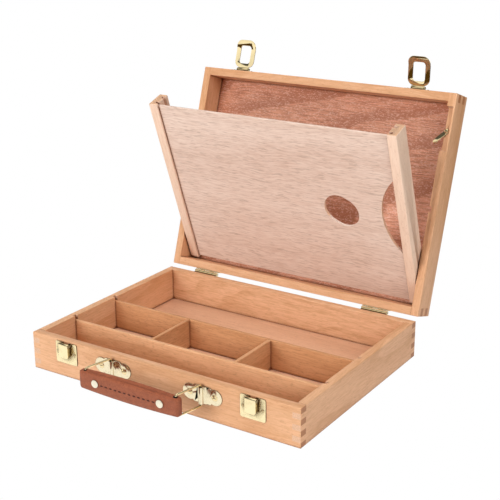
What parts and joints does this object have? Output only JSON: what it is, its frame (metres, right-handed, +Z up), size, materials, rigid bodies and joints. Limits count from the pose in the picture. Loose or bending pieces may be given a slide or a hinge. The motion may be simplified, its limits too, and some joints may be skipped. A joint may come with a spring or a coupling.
{
  "type": "art supply box",
  "caption": "Wooden artist's sketch box with a hinged lid, a folding rack that holds a sliding palette, divided compartments, loop latches and a carrying handle.",
  "frame": {"origin": "centre of the underside of the base", "axes": "+Z up, +X to the right seen from the handle side, +Y to the back, towards the hinges"},
  "size_m": [0.36, 0.4275, 0.3385],
  "materials": {
    "beech": "oiled beech with short fine flecks",
    "floor_plywood": "reddish brown plywood, satin",
    "lid_plywood": "reddish plywood with a swirling figure, satin",
    "palette_plywood": "pale pinkish plywood, satin",
    "divider_wood": "thin beech strip, satin",
    "rack_wood": "planed beech, satin",
    "brass": "polished pale brass",
    "brass_screw": "polished brass",
    "steel_pin": "ground steel",
    "leather": "reddish brown leather, semi-gloss",
    "rivet": "pale brass, satin"
  },
  "bodies": {
    "base": {"base_front_wall": "beech", "base_back_wall": "beech", "base_left_side": "beech", "base_right_side": "beech", "base_floor": "floor_plywood", "front_divider": "divider_wood", "rear_divider": "divider_wood", "cross_dividers": "divider_wood", "hinge_base_leaves": "brass", "hinge_pins": "steel_pin", "hinge_base_screws": "brass_screw", "left_latch_plate": "brass", "right_latch_plate": "brass", "latch_lever_pins": "steel_pin", "latch_plate_screws": "brass_screw", "left_handle_bracket": "brass", "right_handle_bracket": "brass", "handle_bracket_screws": "brass_screw"},
    "lid": {"lid_front_rail": "beech", "lid_hinge_rail": "beech", "lid_left_rail": "beech", "lid_right_rail": "beech", "lid_panel": "lid_plywood", "hinge_lid_leaves": "brass", "hinge_lid_screws": "brass_screw", "left_loop_bracket": "brass", "right_loop_bracket": "brass", "loop_pins": "steel_pin", "loop_bracket_screws": "brass_screw", "rack_pivot_pins": "steel_pin", "turn_button_screw": "brass_screw"},
    "rack": {"left_rack_rail": "rack_wood", "right_rack_rail": "rack_wood"},
    "palette": {"palette": "palette_plywood"},
    "turn_button": {"turn_button": "brass"},
    "left_latch_lever": {"left_latch_lever": "brass"},
    "right_latch_lever": {"right_latch_lever": "brass"},
    "left_latch_loop": {"left_latch_loop": "brass"},
    "right_latch_loop": {"right_latch_loop": "brass"},
    "left_handle_ring": {"left_handle_ring": "brass"},
    "right_handle_ring": {"right_handle_ring": "brass"},
    "handle_grip": {"handle_grip": "leather", "grip_rivets": "rivet"}
  },
  "joints": [
    {"name": "lid_hinge", "type": "hinge", "parent": "base", "child": "lid", "pos_m": [0, 0.1364, 0.0455], "axis": [-1, 0, 0], "range_deg": [-108, 0]},
    {"name": "rack_hinge", "type": "hinge", "parent": "lid", "child": "rack", "pos_m": [0, 0.16668, 0.08077], "axis": [1, 0, 0], "range_deg": [-38, 0]},
    {"name": "palette_slide", "type": "slide", "parent": "rack", "child": "palette", "axis": [0, -0.342, 0.9397], "range_m": [0, 0.237]},
    {"name": "turn_button_hinge", "type": "hinge", "parent": "lid", "child": "turn_button", "pos_m": [0.1723, 0.21288, 0.2566], "axis": [0, 0.9511, -0.309], "range_deg": [-49.5, 0]},
    {"name": "left_latch_lever_hinge", "type": "hinge", "parent": "base", "child": "left_latch_lever", "pos_m": [-0.1284, -0.137, 0.041], "axis": [-1, 0, 0], "range_deg": [0, 105]},
    {"name": "right_latch_lever_hinge", "type": "hinge", "parent": "base", "child": "right_latch_lever", "pos_m": [0.1236, -0.137, 0.041], "axis": [-1, 0, 0], "range_deg": [0, 105]},
    {"name": "left_latch_loop_hinge", "type": "hinge", "parent": "lid", "child": "left_latch_loop", "pos_m": [-0.1284, 0.23437, 0.30009], "axis": [-1, 0, 0], "range_deg": [-86, 20]},
    {"name": "right_latch_loop_hinge", "type": "hinge", "parent": "lid", "child": "right_latch_loop", "pos_m": [0.1236, 0.23437, 0.30009], "axis": [-1, 0, 0], "range_deg": [-70, 36]},
    {"name": "handle_hinge", "type": "hinge", "parent": "base", "child": "left_handle_ring", "pos_m": [-0.0605, -0.136, 0.029], "axis": [0, 0, 1], "range_deg": [-62.5, 87.5]},
    {"name": "right_ring_hinge", "type": "hinge", "parent": "base", "child": "right_handle_ring", "pos_m": [0.0605, -0.136, 0.029], "axis": [0, 0, 1], "range_deg": [-62.5, 87.5]},
    {"name": "grip_hinge", "type": "hinge", "parent": "left_handle_ring", "child": "handle_grip", "pos_m": [-0.06797, -0.16968, 0.029], "axis": [0, 0, 1], "range_deg": [-87.5, 62.5]}
  ],
  "couplings": [
    {"joint": "rack_hinge", "follows": "lid_hinge", "ratio": 0.35185},
    {"joint": "turn_button_hinge", "follows": "lid_hinge", "ratio": 0.45833},
    {"joint": "right_ring_hinge", "follows": "handle_hinge", "ratio": 1},
    {"joint": "grip_hinge", "follows": "handle_hinge", "ratio": -1}
  ]
}
